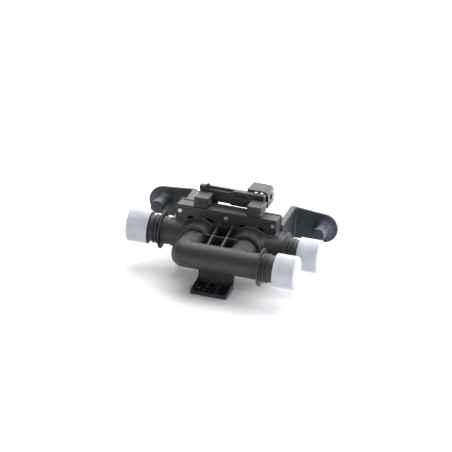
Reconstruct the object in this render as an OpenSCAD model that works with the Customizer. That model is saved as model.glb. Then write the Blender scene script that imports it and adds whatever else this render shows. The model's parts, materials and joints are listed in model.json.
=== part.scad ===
// Twin solenoid coolant diverter valve with three capped hose ports and a two-peg bracket.
// Every sub-part is drawn from the valve datum: the middle of the block's front face, level
// with the upper screw row. +Y runs back towards the coils and +X runs to the capped front port.
// placed() then moves the datum so that the origin is on the clip's underside, mid-block.

/* [Datum] */
// Height of the datum above the underside of the lower clip
datum_height = 49.4; // [48:0.2:54]
// Distance of the datum behind the middle of the clip's front bar
datum_setback = 36; // [35:0.5:36]

/* [Valve block] */
// Width of the block across the upper face
block_w = 77.6; // [77.2:0.2:79]
// Depth of the moulded block
block_d = 12; // [11.8:0.1:12]
// Top of the block above the datum
block_top = 5; // [4.5:0.1:5]
// Bottom of the block below the datum
block_drop = 41; // [40.5:0.5:43]
// Distance from the middle to each valve axis
valve_x = 20; // [19.8:0.1:20.4]
// Depth of the valve and port axes below the datum
axis_drop = 18; // [17.8:0.1:18.4]

/* [Ports] */
// Outer radius of the rear tube
tube_r = 10.4; // [10.2:0.1:10.8]
// Radius of the water way in the tubes
bore_r = 7.6; // [6.8:0.1:7.8]
// Outer radius of the hose spigots
spigot_r = 10.2; // [9.8:0.1:10.4]
// Radius of the stop flanges
flange_r = 14.4; // [13.5:0.1:15]
// Distance of the rear port ends from the middle
rear_end_x = 70.5; // [69:0.5:70.5]
// End of the front port
front_end_x = 65.5; // [64:0.5:65.5]

/* [Manifold] */
// Distance of the manifold tube's axis in front of the datum
manifold_y = 38.2; // [37:0.2:39]
// Outer radius of the manifold tube
manifold_r = 9.9; // [9.7:0.1:10]

/* [Coils] */
// Stroke of each armature
stroke = 3; // [2:0.2:3]
// Length of the coil barrels behind the housing plate
barrel_len = 23.9; // [23.9:0.1:25]

/* [Caps] */
// Outside radius of the transport caps
cap_r = 12.75; // [12.6:0.05:13.2]
// Length of the transport caps
cap_len = 16.8; // [16.6:0.1:17.2]

/* [Bracket] */
// Distance from the middle to each peg axis
peg_x = 63.5; // [62:0.5:66]
// Depth of the pegs below the datum
peg_drop = 14; // [13:0.5:15]
// Radius of the pegs
peg_r = 5; // [4.4:0.1:5.2]
// Depth of the bracket's arms behind the datum
arm_y = 52; // [50:0.5:54]

/* [Hidden] */
$fn = 64;

moulded = [0.16, 0.17, 0.18];
glossy = [0.07, 0.07, 0.08];
steel = [0.62, 0.63, 0.65];
copper = [0.72, 0.40, 0.22];
brass = [0.80, 0.66, 0.32];
rubber = [0.05, 0.05, 0.05];
milky = [0.90, 0.92, 0.94];
natural = [0.82, 0.80, 0.72];

axis_z = -axis_drop;
tube_y = 1.3;
plate_d = 2.5;
plate_y = block_d;
rear_y = plate_y + plate_d;
chamber_r = 11;
socket_front = -14.5;
socket_end = -7.5;
seat_y = -4.8;
seat_lip = 0.8;
seat_r = 6;
leg_bore_r = 6.6;
leg_spigot_r = 8.6;
rib_x = 5.3;
rib_t = 1.9;
screw_x = 36.2;
screw_z = [0, -38];
cover_x = 20.7;
clip_left = 13.25;
clip_right = 14.8;
bridge_front = 16;
bridge_d = 6;
bridge_top = 16.5;
coil_front = rear_y + 0.1;
coil_end = 34.9;
barrel_r = 14;
yoke_r = 12.4;
guide_r = 5.6;
guide_bore = 5;
armature_r = 4.93;
rod_r = 1.6;
core_end = 20;
armature_front = core_end + stroke + 0.9;
disc_front = seat_y + seat_lip + stroke + 0.1;
wire_r = 0.35;
spring_r = 3.3;
ear_r = 11.3;
ear_x = 63.3;
ear_z = -14.5;
arm_x = 36.3;
arm_t = 4.5;
arm_top = -0.9;
arm_round = 4;
cap_corner = 1.8;
cap_left_x = 58;
cap_right_x = 58.4;
cap_front_x = 50.6;
eps = 0.05;

// ---- placing and small shapes -------------------------------------------------------------

module placed() { translate([0, datum_setback, datum_height]) children(); }

// A cylinder along X from x0 to x1, and one along Y from y0 to y1.
module rod_x(x0, x1, r) { translate([x0, 0, 0]) rotate([0, 90, 0]) cylinder(h = x1 - x0, r = r); }
module rod_y(y0, y1, r) { translate([0, y0, 0]) rotate([-90, 0, 0]) cylinder(h = y1 - y0, r = r); }

// A box given by its two corners.
module span(lo, hi) { translate(lo) cube(hi - lo); }

// A profile in (radius, distance) turned about the X or the Y axis.
module turned_x() { rotate([0, 90, 0]) rotate_extrude() children(); }
module turned_y() { rotate([-90, 0, 0]) rotate_extrude() children(); }

// A profile in (x, z) extruded from y0 to y1, and one in (y, z) extruded from x0 to x1.
module prism_y(y0, y1) { translate([0, y1, 0]) rotate([90, 0, 0]) linear_extrude(y1 - y0) children(); }
module prism_x(x0, x1) {
    translate([x0, 0, 0]) rotate([90, 0, 90]) linear_extrude(x1 - x0) children();
}

// A rectangle about the origin with round corners.
module round_rect(w, h, r) {
    square([w - 2 * r, h], center = true);
    square([w, h - 2 * r], center = true);
    for (x = [-1, 1], z = [-1, 1]) translate([x * (w / 2 - r), z * (h / 2 - r)]) circle(r);
}

module at_valve(side) { translate([side * valve_x, 0, axis_z]) children(); }
module both_sides() { for (side = [-1, 1]) mirror([side < 0 ? 1 : 0, 0, 0]) children(); }

// ---- ports and water ways -----------------------------------------------------------------

// One hose spigot along +X: stop flange, two retaining ridges and a plain end with a chamfer.
module spigot(flange_x, end_x) {
    turned_x() {
        translate([0, flange_x - 0.9]) square([flange_r - 1, 1.8]);
        translate([0, flange_x - 0.6]) square([flange_r, 1.2]);
        translate([0, flange_x - 0.9]) square([spigot_r, end_x - flange_x + 0.1]);
        polygon([[0, end_x - 0.9], [spigot_r, end_x - 0.9], [spigot_r - 0.8, end_x], [0, end_x]]);
        for (x = [2.4, 5]) translate([0, flange_x + x]) square([11.2, 1.2]);
    }
}

// The outside of one valve chamber, with its rim at the front.
module chamber_outside() {
    turned_y() polygon([
        [0, socket_front], [11.5, socket_front], [13.2, -13.2], [13.2, -12.4], [12.7, -12],
        [14.4, 1], [0, 1]
    ]);
}

// Height of the sloping top that the ribs of both mouldings share, at distance y.
function rib_top(y) = -5.4 + 0.216 * y;

// What is hollow in one chamber: flash groove, socket, seat bore and the disc's space.
module chamber_hollow() {
    turned_y() {
        translate([9.95, socket_front - 1]) square([0.4, 1.6]);
        translate([0, socket_front - 1]) square([leg_spigot_r + 0.1, 1 + socket_end - socket_front]);
        translate([0, socket_end - 1]) square([seat_r, 4]);
        translate([seat_r + 1.2, seat_y]) square([chamber_r - seat_r - 1.2, 30]);
        translate([0, seat_y + seat_lip]) square([seat_r + 1.3, 30]);
    }
}

// The block's outline with a thin lip at each side of the two tube edges.
module block_outline() {
    w = block_w / 2;
    polygon([
        [-w, block_top], [w, block_top], [w + 0.4, -6.7], [w + 3.2, -7], [w + 3.2, -8.5],
        [w + 0.4, -8.5], [w + 0.4, -28], [w + 2.4, -28], [w + 2.4, -29.6], [w + 0.4, -29.9],
        [w, -block_drop], [-w, -block_drop], [-w - 0.4, -29.9], [-w - 2.4, -29.6],
        [-w - 2.4, -28], [-w - 0.4, -28], [-w - 0.4, -8.5], [-w - 3.2, -8.5], [-w - 3.2, -7],
        [-w - 0.4, -6.7]
    ]);
}

module valve_body() color(moulded) placed() difference() {
    union() {
        prism_y(0, block_d) block_outline();
        translate([0, tube_y, axis_z]) both_sides() spigot(48.3, rear_end_x);
        both_sides() translate([0, tube_y, axis_z]) rod_x(valve_x, 47.6, tube_r);
        for (side = [-1, 1]) at_valve(side) chamber_outside();
        for (side = [-1, 1]) prism_x(side * rib_x - rib_t / 2, side * rib_x + rib_t / 2)
            polygon([[-12.6, -29], [-12.6, rib_top(-12.6)], [1, rib_top(1)], [1, -29]]);
    }
    for (side = [-1, 1]) at_valve(side) chamber_hollow();
    for (side = [-1, 1]) at_valve(side) for (turn = [-28.5, 28.5])
        rotate([0, turn, 0]) span([-2.3, -1, 15.2], [2.3, 6, 16.7]);
    both_sides() translate([0, tube_y, axis_z]) rod_x(valve_x + 8.6, rear_end_x + 1, bore_r);
    both_sides() for (z = screw_z) translate([screw_x, 0, z]) screw_hole();
    for (z = screw_z) translate([0, 0, z]) screw_hole();
    span([-10.05, -1, -35.55], [10.05, 6.2, -32.95]);
    translate([0, 0, -34.25]) rod_y(6, block_d + 1, 1.15);
    translate([0, 0, -34.25]) rod_y(8.6, block_d + 1, 2);
}

module screw_hole() {
    rod_y(-1, 1.3, 1.75);
    rod_y(-1, block_d + 1, 1.15);
}

module manifold() color(moulded) placed() translate([0, -manifold_y, axis_z - 0.5]) difference() {
    union() {
        spigot(39.7, front_end_x);
        rod_x(-valve_x, 39.7, manifold_r);
        translate([-valve_x, 0, 0]) sphere(manifold_r);
        for (side = [-1, 1]) translate([side * valve_x, 0, 0.5]) leg();
        translate([0, manifold_y, 0.5 - axis_z])
            for (side = [-1, 1]) prism_x(side * rib_x - rib_t / 2, side * rib_x + rib_t / 2) polygon([
                [-manifold_y, -26.5], [-manifold_y, -12.6], [-33, rib_top(-33)],
                [-13.1, rib_top(-13.1)], [-13.1, -28.1], [-30, -28.1]
            ]);
        span([-15.5, 22.4, -9.2], [15.5, 23.6, 9.3]);
        span([-valve_x, 6, -1], [valve_x, 23.6, 1]);
    }
    rod_x(-valve_x, front_end_x + 1, bore_r);
    translate([-valve_x, 0, 0]) sphere(bore_r);
    for (side = [-1, 1]) translate([side * valve_x, 0, 0.5]) rod_y(0, 60, leg_bore_r);
}

// One leg from the manifold tube back into its chamber, with a groove for the seal.
module leg() {
    y0 = manifold_y + socket_front;
    turned_y() {
        polygon([[0, 0], [9.4, 0], [9.7, y0], [0, y0]]);
        translate([0, y0 - 1]) square([leg_spigot_r, 3.2]);
        translate([0, y0 - 1]) square([7.5, 5]);
        translate([0, y0 + 3.6]) square([leg_spigot_r, 2.2]);
    }
}

module seal_ring(side, y, r_mid, r_wire) {
    color(rubber) placed() at_valve(side) turned_y() translate([r_mid, y]) circle(r_wire);
}

module manifold_seal(side) seal_ring(side, -11.6, 8.1, 0.59);

module guide_seal(side) seal_ring(side, 10.3, 10.3, 0.69);

// ---- coil housing, bracket and clip -------------------------------------------------------

// The plate behind the block, two closed barrels and a chimney for each coil's terminals.
module coil_housing() color(moulded) placed() difference() {
    union() {
        prism_y(plate_y, rear_y) translate([0, -18]) round_rect(block_w + 1, 46.8, 1.5);
        for (side = [-1, 1]) at_valve(side) rod_y(rear_y - 1, rear_y + barrel_len, barrel_r);
        both_sides() span([cover_x - 4.5, rear_y - 1, -9], [cover_x + 4.5, 17.6, 5]);
        for (z = screw_z) translate([0, 0, z]) rod_y(rear_y - 1, 20, 2.8);
        span([-7, rear_y - 1, -19.5], [7, 34, -16.5]);
    }
    for (side = [-1, 1]) at_valve(side) rod_y(0, 37.2, yoke_r + 0.1);
    both_sides() span([cover_x - 3.6, rear_y + eps, -12], [cover_x + 3.6, 16.6, 6]);
    both_sides() for (z = screw_z) translate([screw_x, 0, z]) rod_y(0, 40, 1.15);
    for (z = screw_z) translate([0, 0, z]) rod_y(0, 18.5, 1.1);
    both_sides() span([cover_x - 5.8, plate_y - 1, block_top], [cover_x + 5.8, rear_y + 1, block_top + 2]);
}

// The U-shaped bracket: two sloping arms, a cross plate, two ears and the two pegs.
module mounting_bracket() color(moulded) placed() difference() {
    union() {
        both_sides() bracket_side();
        span([-arm_x - 1, arm_y, ear_z - ear_r], [arm_x + 1, arm_y + 3, -12.5]);
    }
    both_sides() for (z = screw_z) translate([screw_x, 0, z]) rod_y(0, 19.6, 1.1);
}

module bracket_side() {
    ear_drop = ear_z - ear_r;
    lean = atan2(arm_top - ear_z, ear_x - arm_x) - asin(ear_r / norm([ear_x - arm_x, arm_top - ear_z]));
    intersection() {
        prism_x(0, 100) {
            polygon([
                [rear_y, arm_top - 2.5], [arm_y + 3 - arm_round, arm_top],
                [arm_y + 3, arm_top - arm_round], [arm_y + 3, ear_drop],
                [arm_y - 12, ear_drop], [24, -41], [rear_y, -41]
            ]);
            translate([arm_y + 3 - arm_round, arm_top - arm_round]) circle(arm_round);
        }
        translate([0, 0, -50]) linear_extrude(60) {
            translate([arm_x, rear_y]) square([arm_t, arm_y + 3 - rear_y]);
            translate([arm_x + arm_t - 0.1, arm_y - 2.5]) difference() {
                square([2.6, 3]);
                translate([2.6, 0]) circle(2.5);
            }
        }
    }
    prism_y(arm_y, arm_y + 3) {
        polygon([
            [arm_x, arm_top - arm_round], [arm_x + arm_round, arm_top - 0.3],
            [ear_x + ear_r * sin(lean), ear_z + ear_r * cos(lean)], [ear_x, ear_drop],
            [arm_x, ear_drop]
        ]);
        translate([arm_x + arm_round, arm_top - 0.3 - arm_round]) circle(arm_round);
        translate([ear_x, ear_z]) circle(ear_r);
    }
    translate([peg_x, 0, -peg_drop]) turned_y() {
        translate([0, 35.1]) square([peg_r, arm_y - 35]);
        polygon([[0, 34.3], [peg_r - 0.8, 34.3], [peg_r, 35.1], [0, 35.1]]);
        difference() {
            translate([0, arm_y - 3.6]) square([peg_r + 3.6, 3.7]);
            translate([peg_r + 3.6, arm_y - 3.6]) circle(3.6);
        }
    }
    span([34.7, rear_y, -41], [39.3, 17, 3]);
    for (z = screw_z) translate([screw_x, 0, z]) rod_y(rear_y, 21, 2.6);
}

// The clip under the manifold: tongue, neck, and a ribbed tray with the front bar at the floor.
module lower_clip() color(glossy) placed() difference() {
    union() {
        span([-10, -1, -35.5], [10, 6, -33]);
        span([-clip_left, -19, -35.5], [clip_right, 0, -33]);
        span([-clip_left, -19, -46], [clip_right, -17, -33]);
        for (x = [-clip_left, clip_right - 1.7]) prism_x(x, x + 1.7) clip_side();
        for (x = [-4.8, 4]) prism_x(x, x + 1.7) clip_side(drop = 0.6);
        prism_x(-12, 14) polygon([[-17, -46.8], [-17, -45.6], [-36, -48], [-36, -49.2]]);
        span([-clip_left, -datum_setback - 2, -datum_height], [clip_right, -datum_setback + 2, -46.6]);
        for (x = [-11.5, -4, 3.5, 12.5])
            span([x - 0.9, -datum_setback - 2.6, -48.6], [x + 0.9, -datum_setback, -47]);
    }
    translate([0, 0, -34.25]) rod_y(3.5, 7, 1.1);
    span([-10.3, -29.5, -50], [-8.5, -26.5, -40]);
}

module clip_side(drop = 0) polygon([
    [-17, -42.5 - drop], [-datum_setback - 2, -45.7 - drop], [-datum_setback - 2, -48.9],
    [-datum_setback + 2, -48.9], [-17, -46.6]
]);

// A screw with a low round head and a driving dimple, seated from the front.
module screw(len) {
    difference() {
        turned_y() {
            translate([0, 0.25]) square([1.6, 1]);
            translate([0, -0.25]) square([1.2, 0.6]);
            translate([0, 1]) square([1.05, len - 1]);
        }
        rod_y(-1, 0.3, 0.6);
    }
}

module block_screws() color(steel) placed() {
    both_sides() for (z = screw_z) translate([screw_x, 0, z]) screw(19);
    for (z = screw_z) translate([0, 0, z]) screw(18);
}

module clip_screw() color(steel) placed() translate([0, 0, -34.25]) {
    rod_y(3.8, 9, 1.05);
    rod_y(8.65, 10.6, 1.8);
}

// ---- electrical parts ---------------------------------------------------------------------

module terminal_cover(side) color(moulded) placed() translate([side * cover_x, 0, 0]) difference() {
    translate([0, 0, block_top]) linear_extrude(8) {
        translate([0, 7.75]) round_rect(11.5, 16.5, 3);
        translate([-5.75, 8]) square([11.5, 8]);
    }
    span([-3.9, 2, block_top - 1], [3.9, 15.4, 11.8]);
    span([-3.6, 15, block_top + 2.6], [3.6, 17, 11.8]);
    translate([0, 0, 9]) rod_y(-1, 1, 0.5);
}

// The bar that carries the conductors from cover to cover and on to the connector.
module wiring_bridge() color(moulded) placed() difference() {
    union() {
        prism_y(bridge_front, bridge_front + 3.2) polygon([
            [-26, 6], [-2.8, 6], [-1, 5], [14, 5], [15, 6], [24, 6],
            [24, bridge_top], [0, bridge_top], [-2.8, 14.75], [-26, 14.75]
        ]);
        span([-26, bridge_front + 3, 6], [24, bridge_front + bridge_d, bridge_top]);
        span([-26.8, 16.4, 13.2], [-22.2, 21.6, 16.8]);
        span([-22.4, 17.5, 16], [-18.4, 20.5, 17.2]);
        translate([-20.4, 19, 16]) cylinder(h = 2.4, r = 1.2);
        span([-16.1, bridge_front, 3.5], [-11.4, bridge_front + 1.8, 6.5]);
    }
    span([-24.4, 17.4, 7.9], [22.4, 20.6, 13.4]);
    for (side = [-1, 1]) span([side * cover_x - 2.4, 15, 7.9], [side * cover_x + 1.6, 18, 11.8]);
    span([11.5, 20, 7.9], [22.4, 23, 13.4]);
    translate([6, bridge_front - 1, 12]) prism_y(0, 1.6) round_rect(9, 2.4, 1.15);
}

module bridge_rivets() color(steel) placed() for (x = [16.9, 21.1])
    translate([x, 19, bridge_top + eps]) cylinder(h = 1.1, r = 1.1);

// The socket for the harness plug, open to the back, with a lock nib on its outer side.
module connector_shroud() color(moulded) placed() difference() {
    union() {
        prism_y(22, 40) {
            translate([9, 5]) square([12.5, 13]);
            translate([9, 5]) square([17, 8.5]);
            translate([21.5, 13.5]) circle(4.5);
        }
        span([25, 28, 11], [27.2, 33, 14.6]);
    }
    prism_y(25, 41) {
        translate([11, 6.8]) square([10.5, 9.4]);
        translate([11, 6.8]) square([13.2, 6.7]);
        translate([21.5, 13.5]) circle(2.7);
    }
    for (i = [-1, 0, 1]) span([pin_x(i) - 0.9, 21, 10], [pin_x(i) + 0.9, 26, 11]);
}

function pin_x(i) = 17.3 + 4 * i;

module connector_pins() color(brass) placed() for (i = [-1, 0, 1])
    span([pin_x(i) - 0.85, 18.5, 10.05], [pin_x(i) + 0.85, 33, 10.95]);

// Three conductors: one common to both coils and one feed for each coil.
module bus_bars() color(brass) placed() {
    span([-cover_x - 1.9, 17.6, 8.2], [cover_x - 1.2, 18.5, 9.2]);
    for (side = [-1, 1]) span([side * cover_x - 1.9, 15.3, 8.2], [side * cover_x - 1.2, 18.5, 9.2]);
    span([pin_x(0) - 0.8, 17.6, 9], [pin_x(0) + 0.8, 18.5, 10.95]);
    span([-cover_x + 0.6, 17.6, 10.05], [pin_x(-1) + 0.8, 18.5, 10.95]);
    span([-cover_x + 0.6, 15.3, 10.05], [-cover_x + 1.4, 18.5, 10.95]);
    span([pin_x(1) - 0.8, 15.3, 10.05], [pin_x(1) + 0.8, 18.5, 10.95]);
}

module coil_terminals(side) color(brass) placed() for (x = [-1.9, 0.6])
    span([side * cover_x + x, 14.7, -9.5], [side * cover_x + x + 1.4, 15.3, 11.2]);

// The closed sleeve that the armature runs in, with the flange that shuts the chamber.
module guide_tube(side) color(steel) placed() at_valve(side) difference() {
    turned_y() {
        translate([0, 8.6]) square([chamber_r - 0.1, 0.9]);
        translate([0, 9]) square([9.6, 2.6]);
        translate([0, 11.1]) square([chamber_r - 0.1, 0.9]);
        translate([0, 11]) square([guide_r, 25]);
    }
    rod_y(8, 35.2, guide_bore);
}

module fixed_core(side) color(steel) placed() at_valve(side) turned_y() {
    translate([rod_r + 0.08, 8.7]) square([guide_bore - rod_r - 0.13, core_end - 8.7 - 4]);
    translate([4, core_end - 5]) square([guide_bore - 4.05, 5]);
}

module flux_plate(side) color(steel) placed() at_valve(side) turned_y()
    translate([guide_r + 0.1, plate_y + 0.1]) square([yoke_r - guide_r - 0.3, 2.3]);

module coil_yoke(side) color(steel) placed() difference() {
    at_valve(side) turned_y() {
        translate([yoke_r - 1, coil_front]) square([1, 22.4]);
        translate([guide_r + 0.1, coil_end + 0.2]) square([yoke_r - guide_r - 0.6, 1.9]);
    }
    span([side * cover_x - 3.6, 14, -13], [side * cover_x + 3.6, 16.6, 0]);
}

module coil_bobbin(side) color(natural) placed() difference() {
    at_valve(side) turned_y() {
        translate([guide_r + 0.1, coil_front]) square([1, coil_end - coil_front]);
        translate([guide_r + 0.1, coil_front]) square([5.2, 1.3]);
        translate([guide_r + 0.1, coil_end - 1.3]) square([5.2, 1.3]);
    }
    for (x = [-1.9, 0.6])
        span([side * cover_x + x, coil_front - 1, -9.5], [side * cover_x + x + 1.4, 15.3, 0]);
}

// The enamelled wire, wound in layers: the outer layer's turns show as fine rounds.
module coil_winding(side) color(copper) placed() at_valve(side) turned_y() {
    translate([6.75, coil_front + 1.35]) square([3.3, coil_end - coil_front - 2.7]);
    for (y = [coil_front + 1.85 : 1 : coil_end - 1.8]) translate([10, y]) circle(0.45, $fn = 24);
}

// ---- moving parts -------------------------------------------------------------------------

module armature(side) color(steel) placed() at_valve(side) turned_y() {
    translate([0, armature_front + 4]) square([armature_r, 7]);
    translate([4, armature_front]) square([armature_r - 4, 5]);
    translate([0, disc_front + 2]) square([rod_r, armature_front + 3 - disc_front]);
}

module valve_disc(side) color(rubber) placed() at_valve(side) turned_y() {
    translate([0, disc_front]) square([7.9, 1.6]);
    translate([0, disc_front + 0.3]) square([8.3, 1]);
    translate([0, disc_front + 1]) square([3.2, 1]);
    translate([rod_r, disc_front + 1]) square([1.6, 2.6]);
}

// A round-wire helix along Y from y0 to y1, swept as rings of eight points.
module return_spring(side) {
    turns = 5;
    steps = turns * 14;
    y0 = core_end - 4 + wire_r;
    rise = (armature_front + 4 - 2 * wire_r - core_end + 4) / steps;
    points = [for (i = [0 : steps], k = [0 : 7])
        let (t = i * 360 / 14, a = k * 45, r = spring_r + wire_r * cos(a))
        [r * cos(t), y0 + i * rise + wire_r * sin(a), r * sin(t)]];
    sides = [for (i = [0 : steps - 1], k = [0 : 7])
        [8 * i + k, 8 * i + (k + 1) % 8, 8 * (i + 1) + (k + 1) % 8, 8 * (i + 1) + k]];
    ends = [[for (k = [7 : -1 : 0]) k], [for (k = [0 : 7]) 8 * steps + k]];
    color(steel) placed() at_valve(side) polyhedron(points, concat(sides, ends));
}

// A cap along +X from its rim at 0: round-cornered closed end and two inner grip lips.
module cap() color(milky) difference() {
    turned_x() {
        square([cap_r, cap_len - cap_corner]);
        square([cap_r - cap_corner, cap_len]);
        translate([cap_r - cap_corner, cap_len - cap_corner]) circle(cap_corner);
    }
    difference() {
        turned_x() {
            translate([0, -1]) square([cap_r - 1.1, cap_len - cap_corner]);
            translate([0, -1]) square([cap_r - cap_corner - 0.1, cap_len - 0.1]);
            translate([cap_r - cap_corner - 0.1, cap_len - cap_corner - 0.1]) circle(cap_corner - 1);
        }
        turned_x() for (x = [1.5, 7]) translate([spigot_r + 0.06, x]) square([4, 0.9]);
    }
}

module cap_left() placed() translate([-cap_left_x, tube_y, axis_z]) mirror([1, 0, 0]) cap();
module cap_rear_right() placed() translate([cap_right_x, tube_y, axis_z]) cap();
module cap_front_right() placed() translate([cap_front_x, -manifold_y, axis_z - 0.5]) cap();

valve_body();
manifold();
manifold_seal(-1);  // manifold_seal_left
manifold_seal(1);  // manifold_seal_right
coil_housing();
mounting_bracket();
lower_clip();
block_screws();
clip_screw();
terminal_cover(-1);  // terminal_cover_left
terminal_cover(1);  // terminal_cover_right
wiring_bridge();
bridge_rivets();
connector_shroud();
connector_pins();
bus_bars();
coil_terminals(-1);  // coil_terminals_left
coil_terminals(1);  // coil_terminals_right
guide_tube(-1);  // guide_tube_left
guide_tube(1);  // guide_tube_right
guide_seal(-1);  // guide_seal_left
guide_seal(1);  // guide_seal_right
fixed_core(-1);  // fixed_core_left
fixed_core(1);  // fixed_core_right
flux_plate(-1);  // flux_plate_left
flux_plate(1);  // flux_plate_right
coil_yoke(-1);  // coil_yoke_left
coil_yoke(1);  // coil_yoke_right
coil_bobbin(-1);  // coil_bobbin_left
coil_bobbin(1);  // coil_bobbin_right
coil_winding(-1);  // coil_winding_left
coil_winding(1);  // coil_winding_right
armature(-1);  // armature_left
armature(1);  // armature_right
valve_disc(-1);  // valve_disc_left
valve_disc(1);  // valve_disc_right
return_spring(-1);  // return_spring_left
return_spring(1);  // return_spring_right
cap_left();
cap_rear_right();
cap_front_right();
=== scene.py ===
import json
import math

import bmesh
import bpy
import numpy as np
from mathutils import Matrix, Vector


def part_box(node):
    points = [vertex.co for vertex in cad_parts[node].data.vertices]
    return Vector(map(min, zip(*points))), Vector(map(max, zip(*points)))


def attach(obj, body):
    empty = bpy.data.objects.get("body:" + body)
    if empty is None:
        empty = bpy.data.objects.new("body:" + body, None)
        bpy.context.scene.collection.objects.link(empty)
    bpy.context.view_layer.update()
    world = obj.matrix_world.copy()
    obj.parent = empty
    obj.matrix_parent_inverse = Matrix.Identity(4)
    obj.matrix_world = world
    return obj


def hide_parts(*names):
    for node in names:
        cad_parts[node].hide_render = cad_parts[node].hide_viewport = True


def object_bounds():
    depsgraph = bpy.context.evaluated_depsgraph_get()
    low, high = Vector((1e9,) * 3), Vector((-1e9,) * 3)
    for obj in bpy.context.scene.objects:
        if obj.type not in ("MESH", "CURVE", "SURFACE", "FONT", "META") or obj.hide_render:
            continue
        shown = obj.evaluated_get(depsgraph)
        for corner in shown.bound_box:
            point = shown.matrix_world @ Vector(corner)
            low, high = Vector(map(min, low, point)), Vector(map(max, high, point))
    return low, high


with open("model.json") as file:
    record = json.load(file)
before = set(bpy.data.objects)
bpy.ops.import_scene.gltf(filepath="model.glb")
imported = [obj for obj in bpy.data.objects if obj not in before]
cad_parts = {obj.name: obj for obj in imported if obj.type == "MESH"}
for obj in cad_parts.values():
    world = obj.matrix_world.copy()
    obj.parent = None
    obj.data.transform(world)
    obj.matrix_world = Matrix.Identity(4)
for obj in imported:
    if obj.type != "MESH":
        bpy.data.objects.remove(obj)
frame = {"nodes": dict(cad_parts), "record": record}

cad_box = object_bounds()

# ---- Valve body -----------------------------------------------------------------------------
# The block, the two valve chambers and the rear tube with its two hose spigots are one
# injection moulding in black glass-filled nylon 66. Steel cores leave the water ways and a
# fine spark-eroded texture in the mould leaves the outside matt.

# Sizes are in millimetres from the datum, the middle of the block's front face level with the
# upper row of screws: x to the right, y back, z up.
MM = 0.001
cover_low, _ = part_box("terminal_cover_left")
datum = np.array([0.0, cover_low[1] + 0.5 * MM, cover_low[2] - 5 * MM])


def slab(x, y, z, low, high, r):
    """Distance to a box from low to high whose edges are rounded by r: outside, the length of
    what sticks out past the shrunken box; inside, the nearest face."""
    q = [np.abs(p - (a + b) / 2) - ((b - a) / 2 - r) for p, a, b in zip((x, y, z), low, high)]
    out = np.sqrt(sum(np.maximum(p, 0) ** 2 for p in q))
    return out + np.minimum(np.maximum(np.maximum(q[0], q[1]), q[2]), 0) - r


def drum(a, b, c, start, end, radius, r=0.0):
    """Distance to a round bar along a from start to end, with its two rims rounded by r."""
    side = np.sqrt(b * b + c * c) - radius + r
    cap = np.abs(a - (start + end) / 2) - (end - start) / 2 + r
    out = np.sqrt(np.maximum(side, 0) ** 2 + np.maximum(cap, 0) ** 2)
    return out + np.minimum(np.maximum(side, cap), 0) - r


def melt(a, b, fillet):
    """The nearer of two distances, with the crease between the shapes filled: within fillet of
    equal distances, a parabola dips below both."""
    h = np.maximum(fillet - np.abs(a - b), 0) / fillet
    return np.minimum(a, b) - h * h * fillet / 4


def carve(a, b, edge=0.3):
    """Shape a with shape b taken away, and the new edges broken by the parabola of melt."""
    return -melt(-a, b, edge)


def piece(name, corners, faces, material, smooth=True):
    """A mesh object from an array of corners in metres and an array of faces."""
    mesh = bpy.data.meshes.new(name)
    mesh.from_pydata(corners.tolist(), [], faces.tolist())
    mesh.validate()
    mesh.polygons.foreach_set("use_smooth", np.full(len(mesh.polygons), smooth))
    mesh.materials.append(material)
    made = bpy.data.objects.new(name, mesh)
    bpy.context.scene.collection.objects.link(made)
    return made


def moulding(name, field, low, high, cell, material):
    """The surface where field(x, y, z) is nought, in millimetres from the datum. One corner
    stands in every grid cell that the surface crosses, at the mean of its edge crossings, then
    slides down the field's slope onto the surface; four cells round a crossed edge make a quad.
    The box from low to high, which the CAD piece fills, trims whatever a fillet swells past it."""
    cell = cell * 1
    margin = 1.7 * cell
    step = 0.02
    furthest, flattest = 0.4 * cell, 0.3

    def trimmed(x, y, z):
        return np.maximum(field(x, y, z), slab(x, y, z, low, high, 0))

    start = np.array(low) - margin
    count = np.ceil((np.array(high) + margin - start) / cell).astype(int) + 1
    axes = [start[i] + cell * np.arange(count[i]) for i in range(3)]
    value = np.broadcast_to(trimmed(*np.meshgrid(*axes, indexing="ij", sparse=True)), count)
    inside = value < 0
    bits = np.array(list(np.ndindex(2, 2, 2)))
    held = sum(inside[tuple(slice(b, n - 1 + b) for b, n in zip(bit, count))].astype(np.int8)
               for bit in bits)
    cells = np.argwhere((held > 0) & (held < 8))
    at_corner = np.stack([value[tuple((cells + bit).T)] for bit in bits], 1)
    total, hits = np.zeros((len(cells), 3)), np.zeros((len(cells), 1))
    for p in range(8):
        for q in range(p + 1, 8):
            if np.abs(bits[p] - bits[q]).sum() == 1:
                a, b = at_corner[:, p:p + 1], at_corner[:, q:q + 1]
                crossed = (a < 0) != (b < 0)
                share = np.where(crossed, a / np.where(crossed, a - b, 1), 0)
                total += np.where(crossed, bits[p] + share * (bits[q] - bits[p]), 0)
                hits += crossed
    points = start + cell * (cells + total / hits)
    for _ in range(4):
        here = trimmed(*points.T)
        slope = np.stack([trimmed(*(points + step * axis).T) - trimmed(*(points - step * axis).T)
                          for axis in np.eye(3)], 1) / (2 * step)
        steepness = (slope ** 2).sum(1, keepdims=True)
        move = -here[:, None] * slope / np.maximum(steepness, flattest)
        points += np.clip(move, -furthest, furthest)
    number = np.full(count - 1, -1)
    number[tuple(cells.T)] = np.arange(len(cells))
    faces = []
    for axis in range(3):
        u, w = np.eye(3, dtype=int)[(axis + 1) % 3], np.eye(3, dtype=int)[(axis + 2) % 3]
        ahead = np.roll(inside, -1, axis)
        for flip, edge in ((False, inside & ~ahead), (True, ~inside & ahead)):
            at = np.argwhere(edge)
            at = at[at[:, axis] < count[axis] - 1]
            ring = [number[tuple((at - s * u - t * w).T)]
                    for s, t in ((1, 1), (0, 1), (0, 0), (1, 0))]
            faces.append(np.stack(ring[::-1] if flip else ring, 1))
    return piece(name, datum + MM * points, np.concatenate(faces), material)


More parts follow.
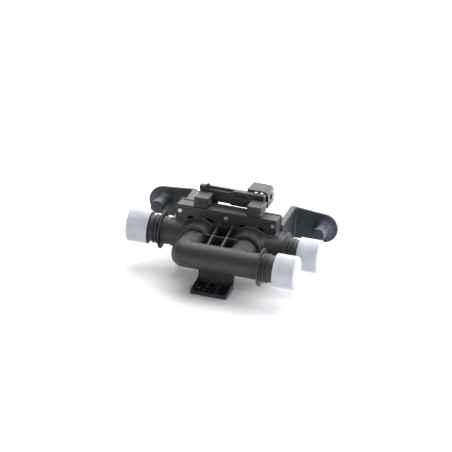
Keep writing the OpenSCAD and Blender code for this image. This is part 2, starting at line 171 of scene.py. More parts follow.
def linear(code):
    """An sRGB hex colour as linear red, green and blue, with full alpha."""
    part = np.array([int(code[i:i + 2], 16) / 255 for i in (1, 3, 5)])
    part = np.where(part <= 0.04045, part / 12.92, ((part + 0.055) / 1.055) ** 2.4)
    return (*part.tolist(), 1.0)


def add(tree, kind, settings, links=()):
    """One node with its settings (attributes by name, sockets by name or number) and links, each
    (socket here, node, its output)."""
    node = tree.nodes.new(kind)
    for key, value in settings.items():
        if isinstance(key, str) and hasattr(node, key):
            setattr(node, key, value)
        else:
            node.inputs[key].default_value = value
    for socket, source, output in links:
        tree.links.new(source.outputs[output], node.inputs[socket])
    return node


def shader(name, settings):
    """A new material with its Principled shader, set up; returns the material, tree and shader."""
    material = bpy.data.materials.new(name)
    material.use_nodes = True
    surface = material.node_tree.nodes["Principled BSDF"]
    for key, value in settings.items():
        surface.inputs[key].default_value = value
    return material, material.node_tree, surface


def ramp(tree, source, output, low, high, at=(0.0, 1.0)):
    """A colour ramp between two colours or grey levels, fed by a node's output."""
    node = add(tree, "ShaderNodeValToRGB", {}, [("Fac", source, output)])
    for stop, place, colour in zip(node.color_ramp.elements, at, (low, high)):
        stop.position, stop.color = place, colour
    return node


def grey(level):
    """A grey of the given linear level, with full alpha."""
    return (level, level, level, 1.0)


def moulded_nylon(name, dark, light, roughness, grain_mm, depth_mm):
    """A plastic or rubber from a spark-eroded mould: matt, with a fine even grain, and faintly
    paler in clouds where its filler lies at the surface. The real grain is about a tenth of a
    millimetre, too fine to show, so it is drawn as coarse as grain_mm."""
    flow_mm = 14
    material, tree, surface = shader(name, {"IOR": 1.53})
    place = add(tree, "ShaderNodeTexCoord", {})
    grain = add(tree, "ShaderNodeTexNoise", {"Scale": 1 / (grain_mm * MM), "Detail": 2.0},
                [("Vector", place, "Object")])
    flow = add(tree, "ShaderNodeTexNoise", {"Scale": 1 / (flow_mm * MM), "Detail": 3.0},
               [("Vector", place, "Object")])
    tint = ramp(tree, flow, "Fac", linear(dark), linear(light), (0.35, 0.7))
    tree.links.new(tint.outputs["Color"], surface.inputs["Base Color"])
    gloss = ramp(tree, grain, "Fac", grey(roughness - 0.06), grey(roughness + 0.08), (0.3, 0.7))
    tree.links.new(gloss.outputs["Color"], surface.inputs["Roughness"])
    bump = add(tree, "ShaderNodeBump", {"Strength": 0.5, "Distance": depth_mm * MM},
               [("Height", grain, "Fac")])
    tree.links.new(bump.outputs["Normal"], surface.inputs["Normal"])
    return material


black_nylon = moulded_nylon("glass_filled_nylon", "#18191b", "#212225", 0.48, 0.6, 0.04)

# The block reaches BLOCK_X to each side; both valves' axes stand at VALVE_X and AXIS_Z.
BLOCK_X, BLOCK_BACK, BLOCK_LOW, BLOCK_TOP = 39, 12, -41, 5
SIDE_RIBS = ((42, -8.5, -7), (41.4, -29.6, -28))
AXIS_Z = -18.0
TUBE_Y, TUBE_R = 1.3, 10.4
VALVE_X = 20.0
COLLAR_FRONT, COLLAR_R = -14.5, 11.5
RIB_X, RIB_HALF, RIB_TOP, RIB_SLOPE = 5.3, 0.95, -5.4, 0.216
BORE, SPIGOT, RIDGE, FLANGE = 7.6, 10.2, 11.2, 14.4
REAR_FLANGE, REAR_END = 48.3, 70.5
SCREW_X, SCREW_ROWS = 36.2, (0, -38)


def spigot(a, b, c, flange, end):
    """A hose spigot along a: stop flange, two retaining ridges and a plain end. Each is a round
    bar, melted into the ones before."""
    shape = drum(a, b, c, flange - 2, end, SPIGOT, 0.8)
    shape = melt(shape, drum(a, b, c, flange - 0.6, flange + 0.6, FLANGE, 0.5), 1.4)
    for rise in (2.4, 5):
        shape = melt(shape, drum(a, b, c, flange + rise, flange + rise + 1.2, RIDGE, 0.5), 0.5)
    return shape


def body_field(x, y, z):
    """Block, rear tube, chambers and ribs melted together, then every hollow carved away. The
    two halves mirror each other, so most shapes are worked out on the distance ax from x = 0."""
    ax = np.abs(x)
    block = slab(x, y, z, (-BLOCK_X, 0, BLOCK_LOW), (BLOCK_X, BLOCK_BACK, BLOCK_TOP), 0.6)
    for reach, under, over in SIDE_RIBS:
        rail = slab(x, y, z, (-reach, 0, under), (reach, BLOCK_BACK, over), 0.5)
        block = melt(block, rail, 0.6)
    along_x = (ax, y - TUBE_Y, z - AXIS_Z)
    tube = drum(*along_x, VALVE_X, REAR_FLANGE - 0.3, TUBE_R, 0.3)
    tube = melt(tube, spigot(*along_x, REAR_FLANGE, REAR_END), 0.3)

    # Each chamber tapers to the front and ends in a collar with a bevelled rim.
    round_y = (y, ax - VALVE_X, z - AXIS_Z)
    chamber = drum(*round_y, -13, 4, 12.7 + 0.13 * (y + 12), 0.5)
    bevel = np.clip(COLLAR_R + 1.3 * (y - COLLAR_FRONT), COLLAR_R, 13.2)
    chamber = melt(chamber, drum(*round_y, COLLAR_FRONT, -12.2, bevel, 0.5), 0.6)
    rib = slab(np.abs(ax - RIB_X), y, z - RIB_SLOPE * y,
               (-RIB_HALF, -12.6, -28), (RIB_HALF, 3, RIB_TOP), 0.4)
    shape = melt(melt(block, tube, 1.5), chamber, 1.5)
    shape = melt(shape, rib, 1.2)

    # From the front: flash groove, socket, seat bore, then the space round the valve disc.
    groove = np.maximum(drum(*round_y, -16, -13.9, 10.35), -drum(*round_y, -20, 0, 9.95))
    shape = carve(shape, groove, 0.3)
    shape = carve(shape, drum(*round_y, -16, -7.5, 8.7), 0.4)
    shape = carve(shape, drum(*round_y, -9, -3, 6.0), 0.3)
    disc_space = np.maximum(drum(*round_y, -4.8, 20, 11), -drum(*round_y, -9, -4.0, 7.2))
    shape = carve(shape, disc_space, 0.3)
    shape = carve(shape, drum(*along_x, 28.6, 80, BORE), 0.5)

    # Screw recesses, two slots above each chamber, and the slot for the clip's tongue.
    for screw_x in (SCREW_X, 0):
        for screw_z in SCREW_ROWS:
            shape = carve(shape, drum(y, ax - screw_x, z - screw_z, -2, 1.3, 1.85), 0.3)
    for turn in (-28.5, 28.5):
        c, s = math.cos(math.radians(turn)), math.sin(math.radians(turn))
        u, v = c * (ax - VALVE_X) - s * (z - AXIS_Z), s * (ax - VALVE_X) + c * (z - AXIS_Z)
        shape = carve(shape, slab(u, y, v, (-2.3, -1, 15.2), (2.3, 6, 16.7), 0.5), 0.3)
    return carve(shape, slab(x, y, z, (-10.05, -1, -35.6), (10.05, 6.2, -32.9), 0.1), 0.3)


valve_body = moulding("valve_body_moulding", body_field, (-71, COLLAR_FRONT, BLOCK_LOW),
                      (71, 15.7, BLOCK_TOP), 0.6, black_nylon)
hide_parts("valve_body")
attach(valve_body, "valve")

# ---- Manifold -------------------------------------------------------------------------------
# The front tube, its two legs and the ribs between them are a second nylon moulding. Its legs
# push into the valve chambers over O-rings and are hot-plate welded there.

MANIFOLD_Y = -38.2
MANIFOLD_Z = AXIS_Z - 0.5
MANIFOLD_R = 9.9
FRONT_FLANGE, FRONT_END = 39.7, 65.5


def manifold_field(x, y, z):
    """Front tube with a round left end, its spigot, two legs, and the ribs, cross rib and web
    between the legs; then the bore and the ways down the legs are carved out."""
    ax = np.abs(x)
    ty, tz = y - MANIFOLD_Y, z - MANIFOLD_Z
    past = np.maximum(-VALVE_X - x, 0)
    from_axis = np.sqrt(past ** 2 + ty ** 2 + tz ** 2)
    tube = np.maximum(from_axis - MANIFOLD_R, x - 40)
    tube = melt(tube, spigot(x, ty, tz, FRONT_FLANGE, FRONT_END), 0.3)

    # Each leg steps down to the socket, the seal groove and the seal land.
    round_y = (y, ax - VALVE_X, z - AXIS_Z)
    leg = drum(*round_y, MANIFOLD_Y, COLLAR_FRONT - 0.05, 9.4 + 0.0127 * ty, 0.3)
    for start, end, radius, rim in ((-20, -12.3, 8.6, 0.2), (-20, -9, 7.5, 0),
                                    (-10.9, -8.7, 8.6, 0.3)):
        leg = np.minimum(leg, drum(*round_y, start, end, radius, rim))
    shape = melt(tube, leg, 2.5)
    rib = slab(np.abs(ax - RIB_X), y, z - RIB_SLOPE * y,
               (-RIB_HALF, MANIFOLD_Y, -25.2), (RIB_HALF, -13.1, RIB_TOP), 0.4)
    rib = np.maximum(rib, -28.1 - z)
    cross = slab(x, y, z, (-15.5, -15.8, -27.7), (15.5, -14.6, -9.2), 0.35)
    web = slab(x, y, z, (-20, -34, -19.5), (20, -14.7, -17.5), 0.3)
    shape = melt(shape, melt(melt(rib, cross, 0.8), web, 0.8), 1.2)
    inner = np.maximum(from_axis - BORE, -x - 60)
    shape = carve(shape, inner, 0.5)
    return carve(shape, drum(*round_y, MANIFOLD_Y, 0, 6.6), 0.5)


manifold = moulding("manifold_moulding", manifold_field, (-30, -52.6, -33), (66, -8.6, -4), 0.55,
                    black_nylon)
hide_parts("manifold")
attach(manifold, "valve")

# ---- Coil housing ---------------------------------------------------------------------------
# A plate behind the block carries two closed barrels that hold the coils and two chimneys that
# let the coil terminals up into their covers. Nylon again, screwed on from the front.

COVER_X = 20.7
PLATE_X, PLATE_BACK, PLATE_LOW, PLATE_TOP = 39.3, 14.5, -41.4, 5.4
BARREL_R, BARREL_BACK = 14, 38.4


def housing_field(x, y, z):
    """Plate, barrels, chimneys, the strut between the barrels and two screw bosses melted
    together, then the coil pockets, screw holes and terminal slots carved out."""
    ax = np.abs(x)
    shape = slab(x, y, z, (-PLATE_X, BLOCK_BACK, PLATE_LOW), (PLATE_X, PLATE_BACK, PLATE_TOP), 0.3)
    round_y = (y, ax - VALVE_X, z - AXIS_Z)
    shape = melt(shape, drum(*round_y, 13, BARREL_BACK, BARREL_R, 1.2), 1.2)
    shape = melt(shape, slab(ax - COVER_X, y, z, (-4.5, 13, -9), (4.5, 17.6, 5), 0.5), 0.8)
    shape = melt(shape, slab(x, y, z, (-7, 13, -19.5), (7, 34, -16.5), 0.5), 1)
    for screw_z in SCREW_ROWS:
        shape = melt(shape, drum(y, x, z - screw_z, 13, 20, 2.8, 0.5), 0.8)
        shape = carve(shape, drum(y, ax - SCREW_X, z - screw_z, 0, 40, 1.2), 0.2)
    shape = carve(shape, drum(*round_y, 0, 37.2, 12.5), 0.3)
    shape = carve(shape, slab(ax - COVER_X, y, z, (-3.6, 14.55, -12), (3.6, 16.6, 8), 0.2), 0.2)
    return carve(shape, slab(ax - COVER_X, y, z, (-5.85, 10, 5), (5.85, 16, 8), 0.1), 0.1)


coil_housing = moulding("coil_housing_moulding", housing_field,
                        (-PLATE_X, BLOCK_BACK, PLATE_LOW), (PLATE_X, BARREL_BACK, PLATE_TOP), 0.6,
                        black_nylon)
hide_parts("coil_housing")
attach(coil_housing, "valve")

# ---- Mounting bracket -----------------------------------------------------------------------
# A stiff U-shaped moulding in its own blue-black nylon: two arms back from the block, a cross
# plate, and two ears whose pegs, flared at the root, push into rubber bushes in the vehicle.

PEG_X, PEG_Z, PEG_R, PEG_FRONT, PEG_FLARE = 63.5, -14.0, 5, 34.3, 5
EAR_X, EAR_Z, EAR_R = 63.3, -14.5, 11.3
ARM_X, ARM_THICK, ARM_TOP = 36.3, 4.5, -0.9
REAR_Y, EAR_THICK, EAR_EDGE = 55, 3, 0.7
ARM_FALL = 0.067
TOP_ACROSS, TOP_UP = 0.084, 0.9965


def bend(a, b, radius):
    """Two distances to flat faces, joined by a round corner of the given radius."""
    a, b = a + radius, b + radius
    return np.hypot(np.maximum(a, 0), np.maximum(b, 0)) + np.minimum(np.maximum(a, b), 0) - radius


def bracket_field(x, y, z):
    """Arm, ear, cross plate, peg, foot strip and screw bosses of one side, melted together on
    the distance ax from the middle plane. The arm's top falls forward by ARM_FALL, and its
    underside rises by 45 degrees in front of y = 40. The ear is a round plate with a band
    to the arm, whose top lies along the direction (TOP_ACROSS, TOP_UP)."""
    ax = np.abs(x)
    under = EAR_Z - EAR_R
    arm = slab(ax, y, z, (ARM_X, PLATE_BACK, BLOCK_LOW),
               (ARM_X + ARM_THICK, REAR_Y, BLOCK_TOP), 0.6)
    arm = carve(arm, -bend((z - ARM_TOP) - (y - 51) * ARM_FALL, y - REAR_Y, 4), 0.8)
    arm = carve(arm, z - under + np.maximum(40 - y, 0), 0.8)
    above = (ax - EAR_X) * TOP_ACROSS + (z - EAR_Z) * TOP_UP - EAR_R
    band = np.maximum(bend(above, ARM_X - ax, 4), np.maximum(under - z, ax - EAR_X - 0.5))
    ear_side = np.minimum(np.hypot(ax - EAR_X, z - EAR_Z) - EAR_R, band)
    thick = np.abs(y - (REAR_Y - EAR_THICK / 2)) - EAR_THICK / 2
    ear = np.hypot(np.maximum(ear_side + EAR_EDGE, 0), np.maximum(thick + EAR_EDGE, 0))
    ear = ear + np.minimum(np.maximum(ear_side, thick) + EAR_EDGE, 0) - EAR_EDGE
    shape = melt(arm, ear, 2)
    cross = slab(x, y, z, (-38, REAR_Y - EAR_THICK, under), (38, REAR_Y, -12.5), 0.7)
    shape = melt(shape, cross, 1)
    peg = drum(y, ax - PEG_X, z - PEG_Z, PEG_FRONT, 53, PEG_R, 0.6)
    shape = melt(shape, peg, PEG_FLARE)
    foot = slab(ax, y, z, (34.7, PLATE_BACK, BLOCK_LOW), (39.3, 17, 3), 0.5)
    shape = melt(shape, foot, 0.8)
    for screw_z in SCREW_ROWS:
        screw_y = (y, ax - SCREW_X, z - screw_z)
        shape = melt(shape, drum(*screw_y, PLATE_BACK, 21, 2.6, 0.4), 0.8)
        shape = carve(shape, drum(*screw_y, 0, 19.6, 1.1), 0.2)
    return np.maximum(shape, PLATE_BACK - y)


blue_black_nylon = moulded_nylon("blue_black_nylon", "#292d35", "#323741", 0.44, 0.6, 0.04)
bracket = moulding("bracket_moulding", bracket_field, (-EAR_X - EAR_R, PLATE_BACK, BLOCK_LOW),
                   (EAR_X + EAR_R, REAR_Y, 3), 0.65, blue_black_nylon)
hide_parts("mounting_bracket")
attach(bracket, "valve")

# ---- Lower clip -----------------------------------------------------------------------------
# A separate hook in unfilled black nylon, smoother and glossier than the body. Its tongue slides
# into a slot under the chambers, and its ribbed tray hooks over an edge in the vehicle.

smooth_nylon = moulded_nylon("unfilled_nylon", "#1d1e23", "#25262c", 0.5, 0.9, 0.02)


CLIP_LEFT, CLIP_RIGHT = -13.25, 14.8
CLIP_MID = (CLIP_LEFT + CLIP_RIGHT) / 2
NECK_FRONT, NECK_BACK = -19, -17
TRAY_FRONT, TRAY_LOW = -38, -49.4
NUBS = (-11.5, -4, 3.5, 12.5)


def clip_field(x, y, z):
    """Tongue, neck and a sloping tray with two side walls, two inner ribs and a front lip. The
    floor falls forward by 0.126 and the tops of walls and ribs by 0.152 from the neck."""
    wall_top = -42.5 - (NECK_BACK - y) * 0.152
    floor_z = -46.2 + (y - NECK_BACK) * 0.126
    plate = slab(x, y, z, (CLIP_LEFT, NECK_FRONT, -35.5), (CLIP_RIGHT, 0, -33), 0.5)
    plate = np.minimum(plate, slab(x, y, z, (-10, -1, -35.5), (10, 6, -33), 0.2))
    neck = slab(x, y, z, (CLIP_LEFT, NECK_FRONT, -46), (CLIP_RIGHT, NECK_BACK, -33), 0.5)
    tray = slab(x, y, z - floor_z,
                (CLIP_LEFT + 1, -37, -0.6), (CLIP_RIGHT - 1, NECK_BACK, 0.6), 0.4)
    wall = slab(np.abs(x - CLIP_MID), y, z,
                (12.325, TRAY_FRONT, TRAY_LOW), (14.025, NECK_BACK, -42), 0.5)
    rib = slab(np.abs(x - 0.45), y, z, (3.55, -37.4, -49), (5.25, NECK_BACK, -42.6), 0.5)
    wall = np.maximum(carve(wall, wall_top - z, 0.6), floor_z - 1.2 - z)
    rib = np.maximum(carve(rib, wall_top - 0.7 - z, 0.6), floor_z - 1 - z)
    shape = melt(melt(plate, neck, 1), melt(melt(tray, wall, 1), rib, 1.2), 1)
    lip = slab(x, y, z, (CLIP_LEFT, TRAY_FRONT, TRAY_LOW), (CLIP_RIGHT, -34, -46.6), 0.5)
    shape = melt(shape, lip, 0.8)
    for nub_x in NUBS:
        nub = slab(x - nub_x, y, z, (-0.9, -38.6, -48.6), (0.9, -36, -47), 0.4)
        shape = melt(shape, nub, 0.5)
    return carve(shape, slab(x, y, z, (-10.3, -29.5, -52), (-8.5, -26.5, -40), 0.5), 0.3)


lower_clip = moulding("lower_clip_moulding", clip_field, (CLIP_LEFT, -38.6, TRAY_LOW),
                      (CLIP_RIGHT, 6, -33), 0.35, smooth_nylon)
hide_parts("lower_clip")
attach(lower_clip, "valve")

# ---- Terminal covers ------------------------------------------------------------------------
# Two nylon boxes with round front corners snap down over the coil terminals. A vent hole the
# size of a pin goes through each front.

COVER_HALF, COVER_FRONT, COVER_BACK, COVER_CORNER = 5.75, -0.5, 16, 3
COVER_MID_Z, COVER_HALF_Z = 9, 4

for side_name, side in (("left", -1), ("right", 1)):
    def cover_field(x, y, z, side=side):
        """A plan with two round front corners, carried up, with its top and bottom edges
        broken; hollow inside, open to the bridge behind, and vented in front."""
        cx = x - side * COVER_X
        beside = np.maximum(np.abs(cx) - (COVER_HALF - COVER_CORNER), 0)
        ahead = np.maximum(COVER_FRONT + COVER_CORNER - y, 0)
        plan = np.maximum(np.sqrt(beside ** 2 + ahead ** 2) - COVER_CORNER, y - COVER_BACK)
        shape = -melt(-plan, -(np.abs(z - COVER_MID_Z) - COVER_HALF_Z), 0.9)
        shape = carve(shape, slab(cx, y, z, (-3.9, 2, 3), (3.9, 15.4, 11.8), 0.4), 0.2)
        shape = carve(shape, slab(cx, y, z, (-3.6, 15, 7.6), (3.6, 18, 11.8), 0.3), 0.2)
        return carve(shape, drum(y, cx, z - COVER_MID_Z, -2, 2.5, 0.5), 0.15)

    cover = moulding(f"terminal_cover_{side_name}_moulding", cover_field,
                     (side * COVER_X - 5.8, COVER_FRONT, BLOCK_TOP),
                     (side * COVER_X + 5.8, COVER_BACK, 13), 0.3, black_nylon)
    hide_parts(f"terminal_cover_{side_name}")
    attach(cover, "valve")

# ---- Wiring bridge --------------------------------------------------------------------------
# A hollow nylon bar takes the conductors from cover to cover and on to the plug socket. Its lid
# is riveted over, and snap hooks stand at its ends.


BRIDGE_LEFT, BRIDGE_RIGHT, BRIDGE_FRONT, BRIDGE_BACK = -26, 24, 16, 22
STEP_X = -2.8


def bridge_field(x, y, z):
    """A front wall whose top steps up and whose foot steps down right of STEP_X, the lid behind
    it, the left snap hook with its post, and one foot; then the conductors' channel, its ways
    into the covers and the socket, and the shallow panel in the wall are carved out."""
    wall_top = np.clip(14.75 + (x - STEP_X) * 0.625, 14.75, 16.5)
    wall_foot = 6 - np.clip(np.minimum((x - STEP_X) / 1.8, 15 - x), 0, 1)
    wall = slab(x, y, z, (BRIDGE_LEFT, BRIDGE_FRONT, 4), (BRIDGE_RIGHT, 19.2, 20), 0.5)
    wall = -melt(-wall, wall_top - z, 0.6)
    wall = -melt(-wall, z - wall_foot, 0.4)
    lid = slab(x, y, z, (BRIDGE_LEFT, 19, 6), (BRIDGE_RIGHT, BRIDGE_BACK, 16.5), 0.4)
    shape = melt(wall, lid, 0.3)
    shape = melt(shape, slab(x, y, z, (-26.8, 16.4, 13.2), (-22.2, 21.6, 16.8), 0.4), 0.4)
    shape = melt(shape, slab(x, y, z, (-22.4, 17.5, 15), (-18.4, 20.5, 17.2), 0.4), 0.6)
    shape = melt(shape, drum(z, x + 20.4, y - 19, 14, 18.4, 1.2, 0.4), 0.5)
    shape = melt(shape, slab(x, y, z, (-16.1, BRIDGE_FRONT, 3.5), (-11.4, 17.8, 8), 0.4), 0.8)
    shape = carve(shape, slab(x, y, z, (-24.4, 17.4, 7.9), (22.4, 20.6, 13.4), 0.3), 0.2)
    for side in (-1, 1):
        low, high = side * COVER_X - 2.4, side * COVER_X + 1.6
        shape = carve(shape, slab(x, y, z, (low, 14, 7.9), (high, 18, 11.8), 0.2), 0.2)
    shape = carve(shape, slab(x, y, z, (11.5, 20, 7.9), (22.4, 24, 13.4), 0.3), 0.2)
    return carve(shape, slab(x, y, z, (1.5, 15, 10.8), (10.5, 16.6, 13.2), 0.8), 0.5)


bridge = moulding("wiring_bridge_moulding", bridge_field, (-26.8, BRIDGE_FRONT, 3.5),
                  (BRIDGE_RIGHT, BRIDGE_BACK, 18.4), 0.35, black_nylon)
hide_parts("wiring_bridge")
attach(bridge, "valve")

# ---- Connector shroud -----------------------------------------------------------------------
# The harness plug pushes in from behind. The shroud is moulded nylon with one corner of large
# radius, which keys the plug, and a nib on its outer side for the plug's latch.


SHROUD_LEFT, SHROUD_RIGHT, SHROUD_TOP = 9, 26, 18
SHROUD_FRONT, SHROUD_BACK, SHROUD_LOW = 22, 40, 5
KEY_CORNER, SHROUD_WALL = 4.5, 1.8
PINS = (13.3, 17.3, 21.3)


def shroud_field(x, y, z):
    """A box with its upper right corner rounded by KEY_CORNER, the latch nib, the plug's space
    one wall inside with its corner smaller by the wall, and a slot for each pin."""
    outside = slab(x, y, z, (SHROUD_LEFT, SHROUD_FRONT, SHROUD_LOW), (40, SHROUD_BACK, 30), 0.5)
    outside = carve(outside, -bend(x - SHROUD_RIGHT, z - SHROUD_TOP, KEY_CORNER), 0.5)
    shape = melt(outside, slab(x, y, z, (25, 28, 11), (27.2, 33, 14.6), 0.4), 0.4)
    hole = np.maximum(bend(x - SHROUD_RIGHT + SHROUD_WALL, z - SHROUD_TOP + SHROUD_WALL,
                           KEY_CORNER - SHROUD_WALL),
                      slab(x, y, z, (11, 25, 6.8), (30, 44, 20), 0.3))
    shape = carve(shape, hole, 0.3)
    for pin_x in PINS:
        shape = carve(shape, slab(x, y, z, (pin_x - 0.9, 20, 10), (pin_x + 0.9, 26, 11), 0.1), 0.1)
    return shape


shroud = moulding("connector_shroud_moulding", shroud_field,
                  (SHROUD_LEFT, SHROUD_FRONT, SHROUD_LOW), (27.2, SHROUD_BACK, SHROUD_TOP), 0.4,
                  black_nylon)
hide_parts("connector_shroud")
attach(shroud, "valve")

# ---- Transport caps -------------------------------------------------------------------------
# Thin push-on caps moulded in natural low-density polythene. The wall lets light into itself,
# so the rims and the round corners glow, and the dark spigot inside greys the middle.


def turned(name, profile, start, way, material, segments=128):
    """A profile of (distance, radius) points in mm carried round an axis along X from start,
    facing way (1 or -1): a closed ring of points times a circle of angles."""
    angle = np.linspace(0, 2 * math.pi, segments, endpoint=False)
    distance, radius = np.array(profile).T
    corners = np.stack([
        np.broadcast_to(start[0] + way * distance[:, None], (len(distance), segments)),
        start[1] + way * radius[:, None] * np.cos(angle),
        start[2] + radius[:, None] * np.sin(angle)], -1)
    i, j = np.meshgrid(np.arange(len(distance)), np.arange(segments), indexing="ij")
    here, along = i * segments, (i + 1) % len(distance) * segments
    faces = np.stack([here + j, here + (j + 1) % segments,
                      along + (j + 1) % segments, along + j], -1).reshape(-1, 4)
    made = piece(name, datum + MM * corners.reshape(-1, 3), faces, material)
    net = bmesh.new()
    net.from_mesh(made.data)
    bmesh.ops.remove_doubles(net, verts=net.verts, dist=1e-6)
    bmesh.ops.dissolve_degenerate(net, edges=net.edges, dist=1e-7)
    bmesh.ops.recalc_face_normals(net, faces=net.faces)
    net.to_mesh(made.data)
    net.free()
    made.data.polygons.foreach_set("use_smooth", np.full(len(made.data.polygons), True))
    return made


def arc(centre, radius, start, end, steps=8):
    """Points round an arc, in degrees from the distance axis towards the radius axis."""
    angle = np.radians(np.linspace(start, end, steps))
    return [(centre[0] + radius * c, centre[1] + radius * s)
            for c, s in zip(np.cos(angle), np.sin(angle))]


def milky_polythene():
    """Natural low-density polythene, moulded thin: milky, with a soft sheen, and lit from
    within. It clouds over about 9 mm, and its haze is drawn at 1.2 mm, coarse enough to show."""
    cloud_mm, haze_mm, haze_depth_mm = 9, 1.2, 0.05
    material, tree, surface = shader("milky_polythene", {
        "IOR": 1.51, "Subsurface Weight": 0.35, "Subsurface Scale": 0.002,
        "Transmission Weight": 0.12})
    place = add(tree, "ShaderNodeTexCoord", {})
    cloud = add(tree, "ShaderNodeTexNoise", {"Scale": 1 / (cloud_mm * MM), "Detail": 3.0},
                [("Vector", place, "Object")])
    tint = ramp(tree, cloud, "Fac", linear("#b4b7c0"), linear("#c6c9d2"), (0.35, 0.65))
    tree.links.new(tint.outputs["Color"], surface.inputs["Base Color"])
    haze = add(tree, "ShaderNodeTexNoise", {"Scale": 1 / (haze_mm * MM), "Detail": 2.0},
               [("Vector", place, "Object")])
    gloss = ramp(tree, haze, "Fac", grey(0.3), grey(0.44), (0.3, 0.7))
    tree.links.new(gloss.outputs["Color"], surface.inputs["Roughness"])
    bump = add(tree, "ShaderNodeBump", {"Strength": 0.25, "Distance": haze_depth_mm * MM},
               [("Height", haze, "Fac")])
    tree.links.new(bump.outputs["Normal"], surface.inputs["Normal"])
    return material


polythene = milky_polythene()
CAP_R, CAP_LEN, CAP_WALL, CAP_CORNER, RIM = 12.75, 16.8, 1.1, 1.8, 0.5
GRIP_LIPS = (1.5, 7.0)
lip = SPIGOT + 0.06
inner = CAP_R - CAP_WALL
cap_profile = (
    [(CAP_LEN, 0.0)]
    + arc((CAP_LEN - CAP_CORNER, CAP_R - CAP_CORNER), CAP_CORNER, 0, 90)
    + [(1.6, CAP_R - 0.15), (1.2, CAP_R)] + arc((RIM, CAP_R - RIM), RIM, 90, 180, 5)
    + arc((RIM, inner + 0.4), RIM, 180, 270, 5))
for grip in GRIP_LIPS:
    cap_profile += [(grip, inner), (grip + 0.25, lip + 0.2), (grip + 0.45, lip),
                    (grip + 0.7, lip + 0.2), (grip + 1.0, inner)]
cap_profile += arc((CAP_LEN - CAP_CORNER, CAP_R - CAP_CORNER), CAP_CORNER - CAP_WALL, 90, 0)
cap_profile += [(CAP_LEN - CAP_WALL, 0.0)]

for name, start, way in (
        ("cap_left", (-58.0, TUBE_Y, AXIS_Z), -1),
        ("cap_rear_right", (58.4, TUBE_Y, AXIS_Z), 1),
        ("cap_front_right", (50.6, MANIFOLD_Y, MANIFOLD_Z), 1)):
    cap = turned(f"{name}_moulding", cap_profile, start, way, polythene)
    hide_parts(name)
    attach(cap, f"{name}_body")

# ---- Carried-over pieces --------------------------------------------------------------------
# The inner works, the screws and the pins are plain turned, stamped and wound parts whose CAD
# shapes are right as they are. Each takes the finish of its own material slot.


def metal(name, colour, roughness, scratch_mm):
    """Bare metal with fine drawn lines: the roughness follows noise stretched along Y. The lines
    are drawn scratch_mm apart, because real ones are too fine to show."""
    material, tree, surface = shader(name, {"Metallic": 1.0, "Base Color": linear(colour)})
    place = add(tree, "ShaderNodeTexCoord", {})
    stretch = add(tree, "ShaderNodeMapping", {"Scale": (1, 0.08, 1)},
                  [("Vector", place, "Object")])
    lines = add(tree, "ShaderNodeTexNoise", {"Scale": 1 / (scratch_mm * MM), "Detail": 3.0},
                [("Vector", stretch, "Vector")])
    gloss = ramp(tree, lines, "Fac", grey(roughness - 0.08), grey(roughness + 0.12), (0.3, 0.7))
    tree.links.new(gloss.outputs["Color"], surface.inputs["Roughness"])
    return material


def enamelled_wire():
    """Copper under clear enamel. Single windings of wire are too fine to show, so painted bands of
    shade and highlight stand for them along Y, about 6 mm apart: dark copper for the shade between
    windings, bright copper for the highlight along each."""
    wave_mm = 20
    material, tree, surface = shader("enamelled_copper", {"Metallic": 0.6, "Coat Weight": 0.5})
    place = add(tree, "ShaderNodeTexCoord", {})
    painted_turn_shade = add(tree, "ShaderNodeTexWave", {"bands_direction": "Y", "Scale": 1 / (wave_mm * MM)},
                [("Vector", place, "Object")])
    # Painted shade and highlight: dark copper between the windings, bright copper along each
    # winding.
    tint = ramp(tree, painted_turn_shade, "Fac", linear("#6e2f16"), linear("#b4653a"))
    tree.links.new(tint.outputs["Color"], surface.inputs["Base Color"])
    return material


finishes = {
    "plated_steel": metal("zinc_plated_steel", "#b9babd", 0.32, 0.5),
    "contact_brass": metal("bright_brass", "#c9a552", 0.25, 0.5),
    "enamelled_copper": enamelled_wire(),
    "seal_rubber": moulded_nylon("moulded_rubber", "#0d0d0d", "#161616", 0.6, 0.8, 0.02),
    "bobbin_nylon": moulded_nylon("natural_nylon", "#c9c3b0", "#d8d3c4", 0.45, 0.8, 0.02),
}
for part in frame["record"]["subparts"]:
    finish = finishes.get(part["material_slot"])
    if finish:
        mesh = frame["nodes"][part["node"]].data
        mesh.materials.clear()
        mesh.materials.append(finish)

# ---- Studio ---------------------------------------------------------------------------------
# A pale floor that fades into a white surround, a wide panel behind, one overhead, a gridded
# wash that brightens the floor behind the valve, and weaker cool panels on the right and at
# the front right.

floor_size, floor_drop = 3.0, 0.2 * MM
surround_strength = 0.55
floor_corners = np.array([(-1, -1, 0), (1, -1, 0), (1, 1, 0), (-1, 1, 0)]) * floor_size / 2
white_paper, _, _ = shader("white_paper", {"Roughness": 0.9, "Base Color": linear("#fbfbfb")})
floor = piece("floor", floor_corners + (0, 0, cad_box[0][2] - floor_drop),
              np.array([[0, 1, 2, 3]]), white_paper, smooth=False)

world = bpy.data.worlds.new("white_surround")
world.use_nodes = True
world.node_tree.nodes["Background"].inputs["Color"].default_value = (1, 1, 1, 1)
world.node_tree.nodes["Background"].inputs["Strength"].default_value = surround_strength
bpy.context.scene.world = world
bpy.context.scene.view_settings.view_transform = "Standard"


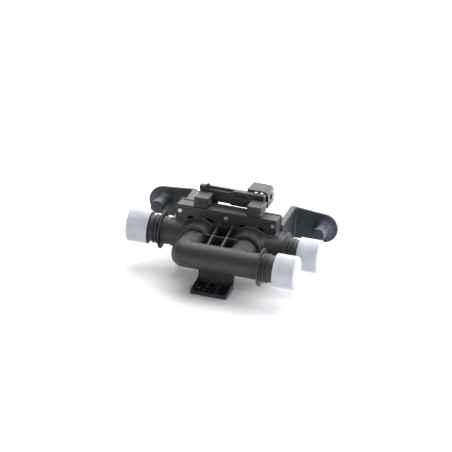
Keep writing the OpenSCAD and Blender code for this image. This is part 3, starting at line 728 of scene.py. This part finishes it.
def softbox(name, place, aim, width, height, power, colour=(1, 1, 1), spread=180):
    """A flat area light of the given width and height in metres, turned to face aim. A spread
    under 180 degrees is a grid on its front, which keeps light from leaving sideways."""
    lamp = bpy.data.lights.new(name, "AREA")
    lamp.spread = math.radians(spread)
    lamp.shape, lamp.size, lamp.size_y = "RECTANGLE", width, height
    lamp.energy, lamp.color = power, colour
    made = bpy.data.objects.new(name, lamp)
    bpy.context.scene.collection.objects.link(made)
    made.location = place
    away = np.array(place) - np.array(aim)
    yaw, tilt = math.atan2(away[0], -away[1]), math.acos(away[2] / np.linalg.norm(away))
    made.rotation_euler = (tilt, 0, yaw)


softbox("back_panel", (0.2, 1.4, 0.8), datum, 3.0, 1.6, 37)
softbox("top_panel", (0.1, 0.45, 1.4), datum, 1.8, 1.6, 22)
softbox("floor_wash", (0.2, 0.7, 0.9), (0.2, 0.7, 0), 1.0, 0.4, 40, spread=40)
softbox("right_panel", (1.4, 0.45, 0.5), datum, 1.2, 1.0, 14, (0.93, 0.96, 1.0))
softbox("front_fill", (1.2, -0.9, 0.5), datum, 0.8, 0.8, 3, (0.7, 0.82, 1.0))

# The camera stands in front, a little to the right and above, and leans 5 degrees. Its lens
# grows with its distance, so that the valve keeps its size in the view, and it aims DROP
# below the datum.
AZIMUTH, ELEVATION, LEAN = (math.radians(a) for a in (13.9, 20.7, 5.0))
DISTANCE = 3.5
FOCAL = 106.2 * DISTANCE
SENSOR = 36.0
DROP = 5.55 * MM
back = np.array([math.sin(AZIMUTH) * math.cos(ELEVATION),
                 -math.cos(AZIMUTH) * math.cos(ELEVATION), math.sin(ELEVATION)])
level = np.array([math.cos(AZIMUTH), math.sin(AZIMUTH), 0])
upright = np.cross(back, level)
right = math.cos(LEAN) * level + math.sin(LEAN) * upright
up = math.cos(LEAN) * upright - math.sin(LEAN) * level
lens = bpy.data.cameras.new("camera")
lens.lens, lens.sensor_width = FOCAL, SENSOR
camera = bpy.data.objects.new("camera", lens)
bpy.context.scene.collection.objects.link(camera)
place = datum - DROP * up + DISTANCE * back
turn = np.eye(4)
turn[:3, 0], turn[:3, 1], turn[:3, 2], turn[:3, 3] = right, up, back, place
camera.matrix_world = Matrix(turn.tolist())
bpy.context.scene.camera = camera
